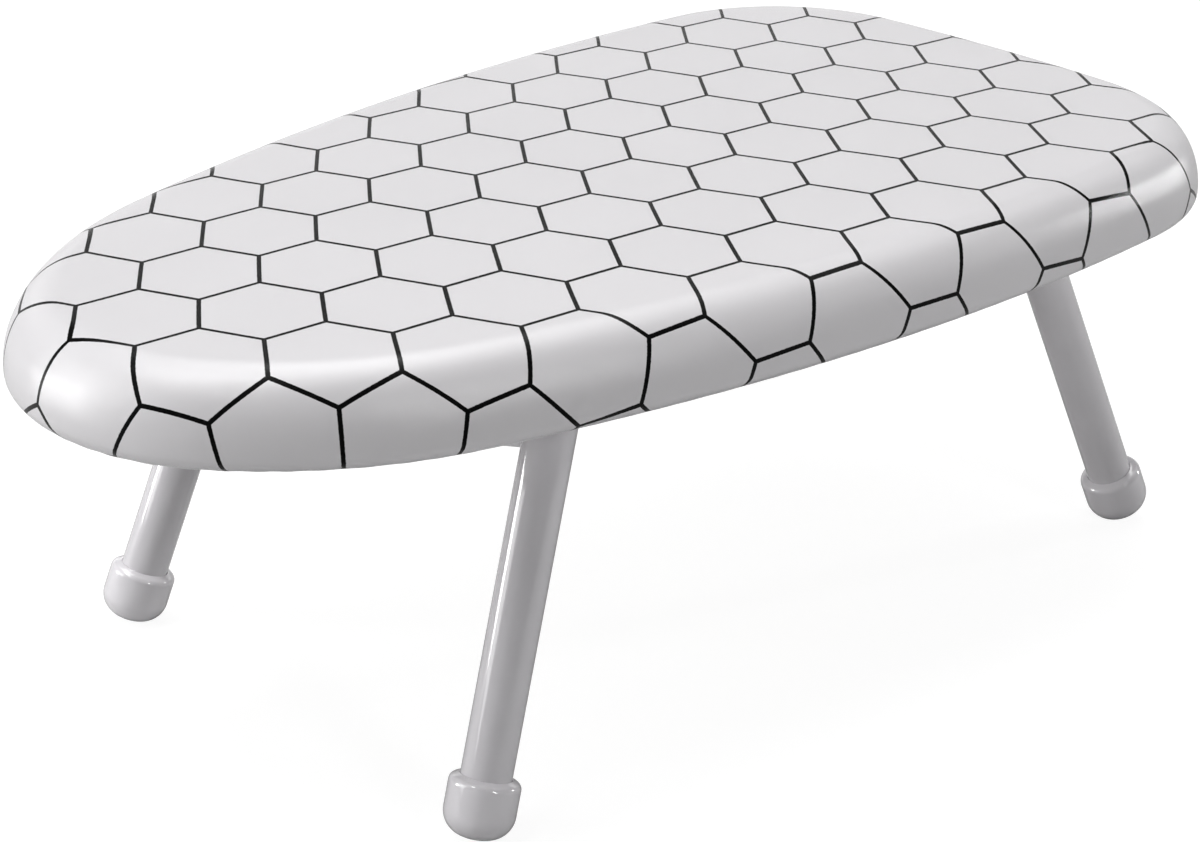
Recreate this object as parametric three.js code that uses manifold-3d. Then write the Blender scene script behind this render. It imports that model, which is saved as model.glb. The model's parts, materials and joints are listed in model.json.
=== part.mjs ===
// Tabletop ironing board: a padded board on two pairs of splayed legs that fold flat under it.
// Millimetres, +Z up. The nose points to -X and the heel to +X.
// The origin is on the table, under the middle of the board.
// "left" is the -Y side and "right" the +Y side, as seen from the heel.
import * as THREE from "three";
import { mergeVertices } from "three/addons/utils/BufferGeometryUtils.js";
import Module from "manifold-3d";

const wasm = await Module();
wasm.setup();

// Padded board: overall sizes and the arcs of its outline
const boardLength = 600;
const boardWidth = 345;
const standingHeight = 216;
const noseRadius = 106;
const heelCornerRadius = 104.5;
// How far each half of an arc turns, in degrees; the heel corner takes what is left of the half circle
const noseArcAngle = 40;
const shoulderArcAngle = 34;
const sideArcAngle = 20;
const heelEndArcAngle = 4;
const arcSteps = [5, 4, 5, 9, 1];

// Section through the padded edge
const crown = 1.5;
const crownShare = 0.6;
const topRoundWidth = 25;
const topRoundHeight = 31.5;
const bottomRoundWidth = 16;
const bottomRoundHeight = 9;
const outerEdgeSteps = 5;
const innerEdgeSteps = 4;
const bottomEdgeSteps = 3;

// Layers of the board
const fabricThickness = 1.2;
const softGap = 0.3;
const deckThickness = 9;
const deckInset = 15;
const foamLipLand = 1.2;
const hemLap = 13;
const hemWidth = 7;
const elasticThickness = 1.5;

// Leg pairs: where the hinges sit and how the legs stand
const axleDrop = 21;
const noseHingeSetback = 165.7;
const heelHingeSetback = 109.4;
const noseLegInset = 63.85;
const heelLegInset = 66.7;
const noseLeanAngle = 20.4;
const heelLeanAngle = 21.1;
const noseSplayAngle = 6.6;
const heelSplayAngle = 8.8;
const foldSwingAngle = 110;

// Leg tubes, plugs and foot caps
const tubeRadius = 11;
const tubeWall = 1.2;
const plugDome = 2.6;
const plugRim = 0.9;
const plugCrownRadius = 7.7;
const plugStem = 3.5;
const capWall = 4.4;
const capLength = 25.5;
const capFloor = 8;
const capTopRound = 3;
const capBottomRound = 11;
const capRoundSteps = 5;
const footFlat = 0.4;
const roundSegments = 24;

// Axles, arms, hinge blocks, stop pins and screws
const fitGap = 0.3;
const axleRadius = 5;
const armLength = 20;
const armRise = 9;
const armThickness = 8;
const hingeInset = 17.65;
const hingeWidth = 20;
const earThickness = 9;
const earMargin = 2.4;
const bossWall = 4;
const stopPinRadius = 2;
const stopPinStandout = 4.8;
const stopPinRoot = 1.3;
const stopPinSideGap = 1;
const screwRadius = 2;
const screwHeadRadius = 4;
const screwHeadHeight = 2.6;
const screwHeadRim = 1;
const screwHeadCrownRadius = 2.8;
const screwHeadCrown = 0.3;
const screwPoint = 3;
const screwHeadGap = 1;
const screwCover = 2;
const screwSegments = 12;
// A cutting tool's length, in walls, that takes it well past both faces of the wall
const cutterReach = 4;

// Spring that clicks the axle into its open and folded positions
const springThickness = 1;
const springWidth = 16;
const springFootStart = 38;
const springTipLength = 5.5;
const springTipRise = 3;
const springScrewPitch = 12;
const springScrewInset = 7;
const detentDepth = 1.5;
const detentSideGap = 2;

// Heights and places that follow from the sizes above
const edgeTop = standingHeight - crown;
const widestHeight = edgeTop - topRoundHeight;
const underside = widestHeight - bottomRoundHeight;
const lapTop = underside + fabricThickness;
const deckTop = underside + deckThickness;
const hemTop = lapTop + elasticThickness + 2 * softGap + fabricThickness;
const rebateTop = hemTop + softGap;
const hemInset = deckInset + hemLap;
const axleHeight = underside - axleDrop;
const seatHeight = underside - fitGap;
const noseAxleX = noseHingeSetback - boardLength / 2;
const heelAxleX = boardLength / 2 - heelHingeSetback;
const tubeBore = tubeRadius - tubeWall;
const tubeAboveAxle = armRise + axleRadius;
const capRadius = tubeRadius + capWall;
const boreRadius = axleRadius + fitGap;
const stopPinReach = axleRadius + stopPinStandout;
const stopPocketRadius = stopPinReach + 2 * fitGap;
const stopPocketDepth = 2 * (stopPinRadius + stopPinSideGap);
const bossRadius = stopPocketRadius + bossWall;
const earStart = Math.sqrt(bossRadius ** 2 - earThickness ** 2);
const hingeScrewReach = earStart + screwHeadGap + screwHeadRadius;
const hingeHalf = hingeScrewReach + screwHeadRadius + earMargin;
const screwBite = deckThickness - screwCover;
const springFootLength = springScrewPitch + 2 * springScrewInset;
const springScrewReaches = [springScrewInset, springScrewInset + springScrewPitch].map(
  (inset) => springFootStart + inset,
);

const { degToRad } = THREE.MathUtils;
const up = new THREE.Vector3(0, 1, 0);

// Materials: one for each kind of surface
const finish = (color, roughness, metalness) => () =>
  new THREE.MeshStandardMaterial({ color, roughness, metalness });
const printedCloth = finish(0xdedbe0, 0.6, 0);
const foam = finish(0xf2e9c8, 0.95, 0);
const fibreboard = finish(0xe9e7e2, 0.55, 0);
const elastic = finish(0xf4f4f2, 0.8, 0);
const paintedSteel = finish(0xc9c8cb, 0.3, 0.1);
const footVinyl = finish(0xc3c3c6, 0.25, 0);
const nylon = finish(0xeeeeec, 0.4, 0);
const bareSteel = finish(0xb4b4b0, 0.35, 1);
const springSteel = finish(0x8f9094, 0.3, 1);

// Closed geometry to a solid and back
function solid(geometry) {
  const bare = new THREE.BufferGeometry();
  bare.setAttribute("position", geometry.getAttribute("position"));
  bare.setIndex(geometry.index);
  const merged = mergeVertices(bare, 1e-4);
  const vertProperties = new Float32Array(merged.getAttribute("position").array);
  const triVerts = new Uint32Array(merged.index.array);
  return new wasm.Manifold(new wasm.Mesh({ numProp: 3, vertProperties, triVerts }));
}

function geometryOf(made) {
  const { vertProperties, triVerts } = made.getMesh();
  const geometry = new THREE.BufferGeometry();
  geometry.setAttribute("position", new THREE.BufferAttribute(vertProperties, 3));
  geometry.setIndex(new THREE.BufferAttribute(triVerts, 1));
  geometry.computeVertexNormals();
  return geometry;
}

function cut(geometry, tools) {
  return geometryOf(tools.reduce((body, tool) => body.subtract(solid(tool)), solid(geometry)));
}

function piece(name, geometry, material, parent) {
  const mesh = new THREE.Mesh(geometry, material());
  mesh.name = name;
  parent.add(mesh);
  return mesh;
}

// Outline: five arcs from the nose tip to the middle of the heel, then the same arcs back.
const shoulderStart = noseArcAngle;
const sideStart = shoulderStart + shoulderArcAngle;
const cornerStart = sideStart + sideArcAngle;
const halfTurn = 180;
const heelStart = halfTurn - heelEndArcAngle;
const turns = [0, shoulderStart, sideStart, cornerStart, heelStart, halfTurn].map(degToRad);

// The shoulder and heel end radii that keep the board's width, for a given radius of its long side
function arcRadii(sideRadius) {
  const [, nose, shoulder, side, corner] = turns.map(Math.sin);
  const half = boardWidth / 2;
  const shoulderRadius =
    (half - noseRadius * nose - sideRadius * (1 - shoulder)) / (shoulder - nose);
  const heelEndRadius =
    (half - sideRadius * (1 - side) - heelCornerRadius * (side - corner)) / corner;
  return [noseRadius, shoulderRadius, sideRadius, heelCornerRadius, heelEndRadius];
}

function outlineLength(radii) {
  return radii.reduce(
    (sum, radius, i) => sum + radius * (Math.cos(turns[i]) - Math.cos(turns[i + 1])),
    0,
  );
}

// The length grows evenly with the long side's radius, so two trial radii give the one that fits.
function outlineRadii() {
  const start = outlineLength(arcRadii(0));
  const growth = outlineLength(arcRadii(1)) - start;
  return arcRadii((boardLength - start) / growth);
}

// Stations round the outline, counter-clockwise from the nose tip, each with its outward direction
function outlineStations() {
  const half = [];
  let x = -boardLength / 2;
  let y = 0;
  outlineRadii().forEach((radius, i) => {
    const centreX = x + radius * Math.cos(turns[i]);
    const centreY = y + radius * Math.sin(turns[i]);
    for (let step = 0; step < arcSteps[i]; step++) {
      const turn = THREE.MathUtils.lerp(turns[i], turns[i + 1], step / arcSteps[i]);
      const [outX, outY] = [-Math.cos(turn), -Math.sin(turn)];
      half.push({ x: centreX + radius * outX, y: centreY + radius * outY, outX, outY });
    }
    x = centreX - radius * Math.cos(turns[i + 1]);
    y = centreY - radius * Math.sin(turns[i + 1]);
  });
  const heel = { x, y: 0, outX: 1, outY: 0 };
  const back = half
    .slice(1)
    .reverse()
    .map((p) => ({ ...p, y: -p.y, outY: -p.outY }));
  return [...half, heel, ...back];
}

const stations = outlineStations();

const ring = (inset, z, share = 1) =>
  stations.map((p) => [share * (p.x - inset * p.outX), share * (p.y - inset * p.outY), z]);

const pole = (z) => [[0, 0, z]];

// A closed skin over rings that run from the top's middle outward, down, under and back inside.
// A pole closes an end; with no poles, the last ring joins the first.
function loft(rings) {
  const count = stations.length;
  const starts = [];
  let total = 0;
  rings.forEach((points) => {
    starts.push(total);
    total += points.length;
  });
  const at = (r, i) => starts[r] + (rings[r].length === 1 ? 0 : i % count);
  const index = [];
  const last = rings[0].length === 1 ? rings.length - 1 : rings.length;
  for (let r = 0; r < last; r++) {
    const next = (r + 1) % rings.length;
    for (let i = 0; i < count; i++) {
      if (rings[next].length > 1) index.push(at(r, i), at(next, i), at(next, i + 1));
      if (rings[r].length > 1) index.push(at(r, i), at(next, i + 1), at(r, i + 1));
    }
  }
  const geometry = new THREE.BufferGeometry();
  geometry.setAttribute("position", new THREE.Float32BufferAttribute(rings.flat(2), 3));
  geometry.setIndex(index);
  geometry.computeVertexNormals();
  return geometry;
}

// The padded edge, a given depth under the cloth's outer face: over the top edge, or under the bottom one
function topEdge(depth, steps) {
  return Array.from({ length: steps + 1 }, (_, i) => {
    const angle = ((i / steps) * Math.PI) / 2;
    const inset = topRoundWidth - (topRoundWidth - depth) * Math.sin(angle);
    return ring(inset, widestHeight + (topRoundHeight - depth) * Math.cos(angle));
  });
}

function bottomEdge(depth, end = Math.PI / 2) {
  return Array.from({ length: bottomEdgeSteps }, (_, i) => {
    const angle = ((i + 1) / bottomEdgeSteps) * end;
    const inset = bottomRoundWidth - (bottomRoundWidth - depth) * Math.cos(angle);
    return ring(inset, widestHeight - (bottomRoundHeight - depth) * Math.sin(angle));
  });
}

// From the middle of the crowned top to where the edge starts to round over
function topFace(depth) {
  const height = standingHeight - depth;
  return [pole(height), ring(topRoundWidth, height, crownShare)];
}

// Cover: cloth over the top and edge, lapped under the deck and folded back round the elastic
function coverGeometry() {
  const fold = hemInset - fabricThickness;
  const hemEnd = hemInset - hemWidth;
  return loft([
    ...topFace(0),
    ...topEdge(0, outerEdgeSteps),
    ...bottomEdge(0),
    ring(hemInset, underside),
    ring(hemInset, hemTop),
    ring(hemEnd, hemTop),
    ring(hemEnd, hemTop - fabricThickness),
    ring(fold, hemTop - fabricThickness),
    ring(fold, lapTop),
    ...bottomEdge(fabricThickness).reverse(),
    ...topEdge(fabricThickness, innerEdgeSteps).reverse(),
    ...topFace(fabricThickness).reverse(),
  ]);
}

// Foam: fills the cover and wraps the edge of the deck
function foamGeometry() {
  const depth = fabricThickness + softGap;
  const pocketInset = deckInset - softGap;
  const lipInset = Math.min(pocketInset - foamLipLand, bottomRoundWidth);
  const lipTurn = Math.acos((bottomRoundWidth - lipInset) / (bottomRoundWidth - depth));
  const lip = bottomEdge(depth, lipTurn);
  const lipHeight = lip[lip.length - 1][0][2];
  return loft([
    ...topFace(depth),
    ...topEdge(depth, innerEdgeSteps),
    ...lip,
    ring(pocketInset, lipHeight),
    ring(pocketInset, deckTop + softGap),
    pole(deckTop + softGap),
  ]);
}

// Deck: stiff panel, rebated round its lower edge so that the hem lies flush
function deckGeometry(screwPlaces) {
  const rebateInset = hemInset + softGap;
  const panel = loft([
    pole(deckTop),
    ring(deckInset, deckTop),
    ring(deckInset, rebateTop),
    ring(rebateInset, rebateTop),
    ring(rebateInset, underside),
    pole(underside),
  ]);
  const holeRadius = screwRadius + fitGap;
  const holeDepth = screwBite + fitGap;
  const holes = screwPlaces.map(([x, y]) =>
    new THREE.CylinderGeometry(holeRadius, holeRadius, 2 * holeDepth, screwSegments)
      .rotateX(Math.PI / 2)
      .translate(x, y, underside),
  );
  return cut(panel, holes);
}

// Elastic: flat band inside the hem
function elasticGeometry() {
  const inner = hemInset - fabricThickness - softGap;
  const outer = hemInset - hemWidth + softGap;
  const low = lapTop + softGap;
  const high = low + elasticThickness;
  return loft([ring(inner, high), ring(outer, high), ring(outer, low), ring(inner, low)]);
}

// Pan-head screw that points up, with its head's seat at the origin
function screwGeometry(length) {
  const profile = [
    [0, -screwHeadHeight],
    [screwHeadCrownRadius, screwHeadCrown - screwHeadHeight],
    [screwHeadRadius, -screwHeadRim],
    [screwHeadRadius, 0],
    [screwRadius, 0],
    [screwRadius, length - screwPoint],
    [0, length],
  ];
  const points = profile.map(([r, z]) => new THREE.Vector2(r, z));
  return new THREE.LatheGeometry(points, screwSegments).rotateX(Math.PI / 2);
}

// A bar along Y, from its XZ outline, centred on its width
function barAlongY(shape, width) {
  return new THREE.ExtrudeGeometry(shape, { depth: width, bevelEnabled: false, curveSegments: 6 })
    .rotateX(Math.PI / 2)
    .translate(0, width / 2, 0);
}

// The two halves of a hinge part at the axle's middle, and the gap there trims the bore by this angle.
const splitGap = fitGap / 2;
const boreTrim = Math.asin(splitGap / boreRadius);

function screwHoles(length) {
  const radius = screwRadius + fitGap;
  return [-1, 1].map((end) =>
    new THREE.CylinderGeometry(radius, radius, length, screwSegments)
      .rotateX(Math.PI / 2)
      .translate(end * hingeScrewReach, 0, 0),
  );
}

// Upper half of a hinge: seats on the deck, with half of the axle's bore in its lower face
function hingeBaseGeometry() {
  const height = seatHeight - axleHeight;
  const shape = new THREE.Shape();
  shape.moveTo(hingeHalf, splitGap);
  shape.lineTo(hingeHalf, height);
  shape.lineTo(-hingeHalf, height);
  shape.lineTo(-hingeHalf, splitGap);
  shape.lineTo(-boreRadius * Math.cos(boreTrim), splitGap);
  shape.absarc(0, 0, boreRadius, Math.PI - boreTrim, boreTrim, true);
  return cut(barAlongY(shape, hingeWidth), screwHoles(cutterReach * height));
}

// Lower half of a hinge: boss round the axle, an ear for each screw, and a pocket for the stop pin
function hingeCapGeometry(inboard) {
  const earTurn = Math.asin(earThickness / bossRadius);
  const shape = new THREE.Shape();
  shape.moveTo(-hingeHalf, -splitGap);
  shape.lineTo(-hingeHalf, -earThickness);
  shape.lineTo(-earStart, -earThickness);
  shape.absarc(0, 0, bossRadius, Math.PI + earTurn, 2 * Math.PI - earTurn, false);
  shape.lineTo(hingeHalf, -earThickness);
  shape.lineTo(hingeHalf, -splitGap);
  shape.lineTo(boreRadius * Math.cos(boreTrim), -splitGap);
  shape.absarc(0, 0, boreRadius, 2 * Math.PI - boreTrim, Math.PI + boreTrim, true);
  // The pocket's end walls are the legs' open and folded stops.
  const wallTurn = Math.asin((stopPinRadius + fitGap) / boreRadius);
  const halfSpan = degToRad(foldSwingAngle / 2) + wallTurn;
  const start = 1.5 * Math.PI - halfSpan;
  const pocket = new THREE.Shape();
  pocket.moveTo(0, 0);
  pocket.lineTo(stopPocketRadius * Math.cos(start), stopPocketRadius * Math.sin(start));
  pocket.absarc(0, 0, stopPocketRadius, start, start + 2 * halfSpan, false);
  const pocketTool = barAlongY(pocket, 2 * stopPocketDepth);
  pocketTool.translate(0, (inboard * hingeWidth) / 2, 0);
  return cut(barAlongY(shape, hingeWidth), [pocketTool, ...screwHoles(cutterReach * earThickness)]);
}

// Strip of even thickness along an XZ path
function stripShape(path, thickness) {
  const points = path.map(([x, z]) => new THREE.Vector2(x, z));
  const side = (sign) =>
    points.map((point, i) => {
      const before = points[Math.max(i - 1, 0)];
      const after = points[Math.min(i + 1, points.length - 1)];
      const inward = point.clone().sub(before).normalize();
      const outward = after.clone().sub(point).normalize();
      const along = inward.add(outward).normalize();
      const reference = after.equals(point) ? point.clone().sub(before) : after.clone().sub(point);
      const spread = thickness / 2 / along.dot(reference.normalize());
      return new THREE.Vector2(-along.y, along.x).multiplyScalar(sign * spread).add(point);
    });
  return new THREE.Shape([...side(-1), ...side(1).reverse()]);
}

// Leaf spring: its foot is screwed to the deck, and its bend presses on the axle's flat
function springGeometry(inward) {
  const contact = axleRadius - detentDepth + fitGap + springThickness / 2;
  const flatHalf = Math.sqrt(axleRadius ** 2 - (axleRadius - detentDepth) ** 2) - fitGap;
  const footHeight = seatHeight - axleHeight - springThickness / 2;
  const path = [
    [-flatHalf - springTipLength, contact + springTipRise],
    [-flatHalf, contact],
    [flatHalf, contact],
    [springFootStart, footHeight],
    [springFootStart + springFootLength, footHeight],
  ];
  const strip = barAlongY(stripShape(path, springThickness), springWidth);
  if (inward < 0) strip.rotateZ(Math.PI);
  const radius = screwRadius + fitGap;
  const holes = springScrewReaches.map((reach) =>
    new THREE.CylinderGeometry(radius, radius, cutterReach * springThickness, screwSegments)
      .rotateX(Math.PI / 2)
      .translate(inward * reach, 0, footHeight),
  );
  return cut(strip, holes);
}

// Axle: plain rod with a hole for each stop pin, and two flats that the spring clicks onto
function axleGeometry({ outward, axleEnd, hingeSide }) {
  const rod = new THREE.CylinderGeometry(axleRadius, axleRadius, 2 * axleEnd, roundSegments);
  const holeRadius = stopPinRadius + fitGap;
  const holes = [-1, 1].map((side) =>
    new THREE.CylinderGeometry(holeRadius, holeRadius, 2 * axleRadius, screwSegments)
      .translate(0, axleRadius + stopPinRoot - fitGap, 0)
      .applyQuaternion(stopPinTurn(outward))
      .translate(0, side * stopPinSide(hingeSide), 0),
  );
  const flatLength = springWidth + 2 * detentSideGap;
  const flats = [0, outward * foldSwingAngle].map((turn) =>
    new THREE.BoxGeometry(cutterReach * axleRadius, flatLength, 2 * detentDepth)
      .translate(0, 0, axleRadius)
      .rotateY(-degToRad(turn)),
  );
  return cut(rod, [...holes, ...flats]);
}

// Stop pins: half the swing away from straight down, towards the end of the board that the legs lean to
const stopPinSide = (hingeSide) => hingeSide - hingeWidth / 2 + stopPocketDepth / 2;

function stopPinTurn(outward) {
  const turn = degToRad(foldSwingAngle / 2);
  const along = new THREE.Vector3(outward * Math.sin(turn), 0, -Math.cos(turn));
  return new THREE.Quaternion().setFromUnitVectors(up, along);
}

function stopPinGeometry() {
  const length = stopPinReach - stopPinRoot;
  const middle = (stopPinReach + stopPinRoot) / 2;
  return new THREE.CylinderGeometry(stopPinRadius, stopPinRadius, length, screwSegments).translate(
    0,
    middle,
    0,
  );
}

// Arm: gusset plate that rises from the axle's end to the leg's inner side, shaped to the tube
function armGeometry(side, { legSide, axleEnd }, stand) {
  const start = axleEnd + fitGap;
  const shape = new THREE.Shape();
  shape.moveTo(start, -axleRadius);
  shape.lineTo(legSide, armRise - axleRadius);
  shape.lineTo(legSide, armRise + axleRadius);
  shape.lineTo(start, axleRadius);
  const plate = barAlongY(shape, armThickness).rotateZ((side * Math.PI) / 2);
  const hollow = tubeRadius + fitGap;
  const tube = new THREE.CylinderGeometry(hollow, hollow, cutterReach * legSide, roundSegments)
    .applyQuaternion(stand)
    .translate(0, side * legSide, 0);
  return cut(plate, [tube]);
}

function lathe(profile) {
  const points = profile.map(([r, y]) => new THREE.Vector2(r, y));
  return new THREE.LatheGeometry(points, roundSegments);
}

// Quarter round for a lathe profile, centred at (r, y), between two angles in degrees
function quarterRound(r, y, radius, from, to, steps = 3) {
  return Array.from({ length: steps + 1 }, (_, i) => {
    const angle = degToRad(THREE.MathUtils.lerp(from, to, i / steps));
    return [r + radius * Math.cos(angle), y + radius * Math.sin(angle)];
  });
}

// Leg tube along its own Y, from the floor of its foot cap to its top end; the axle is at y = 0
function tubeGeometry(bottom) {
  return lathe([
    [tubeBore, bottom],
    [tubeRadius, bottom],
    [tubeRadius, tubeAboveAxle],
    [tubeBore, tubeAboveAxle],
    [tubeBore, bottom],
  ]);
}

// Plug: domed lid with a short stem in the tube's top end
function plugGeometry() {
  const seat = tubeAboveAxle + fitGap;
  const stemRadius = tubeBore - fitGap;
  return lathe([
    [0, seat - plugStem],
    [stemRadius, seat - plugStem],
    [stemRadius, seat],
    [tubeRadius, seat],
    [tubeRadius, seat + plugRim],
    [plugCrownRadius, seat + plugDome - plugRim / 2],
    [0, seat + plugDome],
  ]);
}

// Foot cap along the leg, with its end face at y = 0 and a socket for the tube
function footCapGeometry() {
  const socket = tubeRadius + fitGap;
  const topRound = Math.min(capTopRound, capRadius - socket);
  return lathe([
    [0, 0],
    ...quarterRound(capRadius - capBottomRound, capBottomRound, capBottomRound, -90, 0, capRoundSteps),
    ...quarterRound(capRadius - topRound, capLength - topRound, topRound, 0, 90),
    [socket, capLength],
    [socket, capFloor],
    [0, capFloor],
  ]);
}

// A mesh's geometry with everything below the table cut away
function standOnTable(mesh) {
  mesh.updateWorldMatrix(true, false);
  const size = cutterReach * capLength;
  const below = new THREE.BoxGeometry(size, size, size);
  const place = new THREE.Vector3().setFromMatrixPosition(mesh.matrixWorld);
  below.translate(place.x, place.y, -size / 2);
  const standing = cut(mesh.geometry.clone().applyMatrix4(mesh.matrixWorld), [below]);
  mesh.geometry = standing.applyMatrix4(mesh.matrixWorld.clone().invert());
}

// One pair of legs with its axle and arms
function addLegPair(parent, legs) {
  const { end, outward, axleX, legSide, hingeSide, lean, splay } = legs;
  const pair = new THREE.Group();
  pair.position.set(axleX, 0, axleHeight);
  parent.add(pair);
  piece(`${end}_axle`, axleGeometry(legs), paintedSteel, pair);
  [-1, 1].forEach((side) => {
    const name = side < 0 ? "left" : "right";
    const slopeX = Math.tan(degToRad(lean));
    const slopeY = Math.tan(degToRad(splay));
    const rise = new THREE.Vector3(-outward * slopeX, -side * slopeY, 1).normalize();
    const stand = new THREE.Quaternion().setFromUnitVectors(up, rise);
    const leg = new THREE.Group();
    leg.position.set(0, side * legSide, 0);
    leg.quaternion.copy(stand);
    pair.add(leg);

    // Height of the cap's end face where its lowest edge dips under the table by the foot's flat
    const tilt = Math.acos(rise.z);
    const edgeRadius = capRadius - capBottomRound;
    const endHeight =
      edgeRadius * Math.sin(tilt) + capBottomRound * (1 - Math.cos(tilt)) - footFlat;
    const capEnd = -(axleHeight - endHeight) / rise.z;
    const tube = tubeGeometry(capEnd + capFloor + fitGap);
    piece(`${end}_leg_${name}`, tube, paintedSteel, leg);
    const arm = armGeometry(side, legs, stand);
    piece(`${end}_leg_arm_${name}`, arm, paintedSteel, pair);
    piece(`${end}_leg_plug_${name}`, plugGeometry(), nylon, leg);
    const cap = piece(`${end}_foot_cap_${name}`, footCapGeometry(), footVinyl, leg);
    cap.position.y = capEnd;
    standOnTable(cap);

    const pin = piece(`${end}_stop_pin_${name}`, stopPinGeometry(), bareSteel, pair);
    pin.position.y = side * stopPinSide(hingeSide);
    pin.quaternion.copy(stopPinTurn(outward));
  });
}

const hingeScrewLength = earThickness + seatHeight - axleHeight + 2 * fitGap + screwBite;
const springScrewLength = springThickness + 2 * fitGap + screwBite;

// Where a leg pair's screws enter the deck: two for each hinge, then the spring's
const hingeScrewPlaces = ({ axleX, hingeSide }, side) =>
  [-1, 1].map((way) => [axleX + way * hingeScrewReach, side * hingeSide]);
const springScrewPlaces = ({ axleX, outward }) =>
  springScrewReaches.map((reach) => [axleX - outward * reach, 0]);

function addHinges(parent, legs) {
  const { end, outward, axleX, hingeSide } = legs;
  [-1, 1].forEach((side) => {
    const name = side < 0 ? "left" : "right";
    const base = piece(`${end}_hinge_base_${name}`, hingeBaseGeometry(), nylon, parent);
    base.position.set(axleX, side * hingeSide, axleHeight);
    const cap = piece(`${end}_hinge_cap_${name}`, hingeCapGeometry(-side), nylon, parent);
    cap.position.copy(base.position);
    hingeScrewPlaces(legs, side).forEach(([x, y], i) => {
      const label = `${end}_hinge_screw_${name}_${i + 1}`;
      const screw = piece(label, screwGeometry(hingeScrewLength), bareSteel, parent);
      screw.position.set(x, y, axleHeight - earThickness - fitGap);
    });
  });
  const spring = piece(`${end}_detent_spring`, springGeometry(-outward), springSteel, parent);
  spring.position.set(axleX, 0, axleHeight);
  springScrewPlaces(legs).forEach(([x, y], i) => {
    const label = `${end}_spring_screw_${i + 1}`;
    const screw = piece(label, screwGeometry(springScrewLength), bareSteel, parent);
    screw.position.set(x, y, seatHeight - springThickness - fitGap);
  });
}

// A leg pair's places across the board, as distances from its middle line.
// The legs stand in from the board's side, the axle spans the arms, and the hinges sit in from its ends.
function legPlaces(legInset) {
  const legSide = boardWidth / 2 - legInset;
  const axleEnd = legSide - tubeRadius - armLength;
  const hingeSide = axleEnd - hingeInset - hingeWidth / 2;
  return { legSide, axleEnd, hingeSide };
}

// outward is the way along X that a pair's legs lean
const legPairs = [
  {
    end: "nose",
    outward: -1,
    axleX: noseAxleX,
    lean: noseLeanAngle,
    splay: noseSplayAngle,
    ...legPlaces(noseLegInset),
  },
  {
    end: "heel",
    outward: 1,
    axleX: heelAxleX,
    lean: heelLeanAngle,
    splay: heelSplayAngle,
    ...legPlaces(heelLegInset),
  },
];

const screwPlaces = legPairs.flatMap((legs) => [
  ...hingeScrewPlaces(legs, -1),
  ...hingeScrewPlaces(legs, 1),
  ...springScrewPlaces(legs),
]);

const ironingBoard = new THREE.Group();
piece("cover", coverGeometry(), printedCloth, ironingBoard);
piece("foam_pad", foamGeometry(), foam, ironingBoard);
piece("deck_panel", deckGeometry(screwPlaces), fibreboard, ironingBoard);
piece("hem_elastic", elasticGeometry(), elastic, ironingBoard);
legPairs.forEach((legs) => {
  addHinges(ironingBoard, legs);
  addLegPair(ironingBoard, legs);
});

export default ironingBoard;
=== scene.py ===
"""Tabletop ironing board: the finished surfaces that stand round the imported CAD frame.

Metres, +Z up. The nose points to -X and the heel to +X; "left" is the -Y side.
"""

import json
import math
import random

import bmesh
import bpy
import numpy as np
from mathutils import Matrix, Vector


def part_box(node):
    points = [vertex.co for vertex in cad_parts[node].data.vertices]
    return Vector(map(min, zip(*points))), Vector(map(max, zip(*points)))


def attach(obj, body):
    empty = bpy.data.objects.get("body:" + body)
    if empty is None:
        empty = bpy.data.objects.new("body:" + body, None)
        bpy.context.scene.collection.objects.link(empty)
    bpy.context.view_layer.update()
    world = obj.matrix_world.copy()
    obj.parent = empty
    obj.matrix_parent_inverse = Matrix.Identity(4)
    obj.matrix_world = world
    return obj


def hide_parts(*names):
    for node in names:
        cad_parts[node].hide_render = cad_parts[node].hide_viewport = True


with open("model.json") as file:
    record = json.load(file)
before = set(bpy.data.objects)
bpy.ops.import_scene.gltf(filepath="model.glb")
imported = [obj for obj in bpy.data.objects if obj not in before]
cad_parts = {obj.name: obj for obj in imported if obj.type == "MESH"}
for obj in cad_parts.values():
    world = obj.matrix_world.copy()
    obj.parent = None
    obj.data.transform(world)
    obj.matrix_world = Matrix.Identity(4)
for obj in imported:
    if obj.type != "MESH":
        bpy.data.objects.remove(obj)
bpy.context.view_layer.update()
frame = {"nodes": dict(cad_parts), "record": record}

# Board: overall sizes from the CAD cover, and the arcs and section that the cover was drawn with
COVER_LOW, COVER_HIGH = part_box("cover")
BOARD_LENGTH = COVER_HIGH.x - COVER_LOW.x
BOARD_WIDTH = COVER_HIGH.y - COVER_LOW.y
TOP = COVER_HIGH.z
UNDERSIDE = COVER_LOW.z
NOSE_RADIUS = 0.106
HEEL_CORNER_RADIUS = 0.1045
ARC_ANGLES = (40, 34, 20, 82, 4)
TURNS = np.radians(np.cumsum((0, *ARC_ANGLES)))
CROWN = 0.0015
CROWN_START = 0.5
TOP_ROUND_WIDTH = 0.025
TOP_ROUND_HEIGHT = 0.0315
BOTTOM_ROUND_WIDTH = 0.016
BOTTOM_ROUND_HEIGHT = 0.009
WIDEST = UNDERSIDE + BOTTOM_ROUND_HEIGHT

# Layers of the board
CLOTH_SPACE = 0.0012
CLOTH_THICKNESS = 0.0009
SOFT_GAP = 0.0003
DECK_INSET = 0.015
DECK_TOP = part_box("deck_panel")[1].z
HEM_INSET = 0.028
HEM_WIDTH = 0.007
HEM_HEIGHT = 0.0045
HEM_TOP = UNDERSIDE + HEM_HEIGHT
HEM_ROUND = 0.0016
FOAM_LIP_LAND = 0.0012
BAND_RIBS = 7
BAND_RIB_DEPTH = 0.0002

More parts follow.
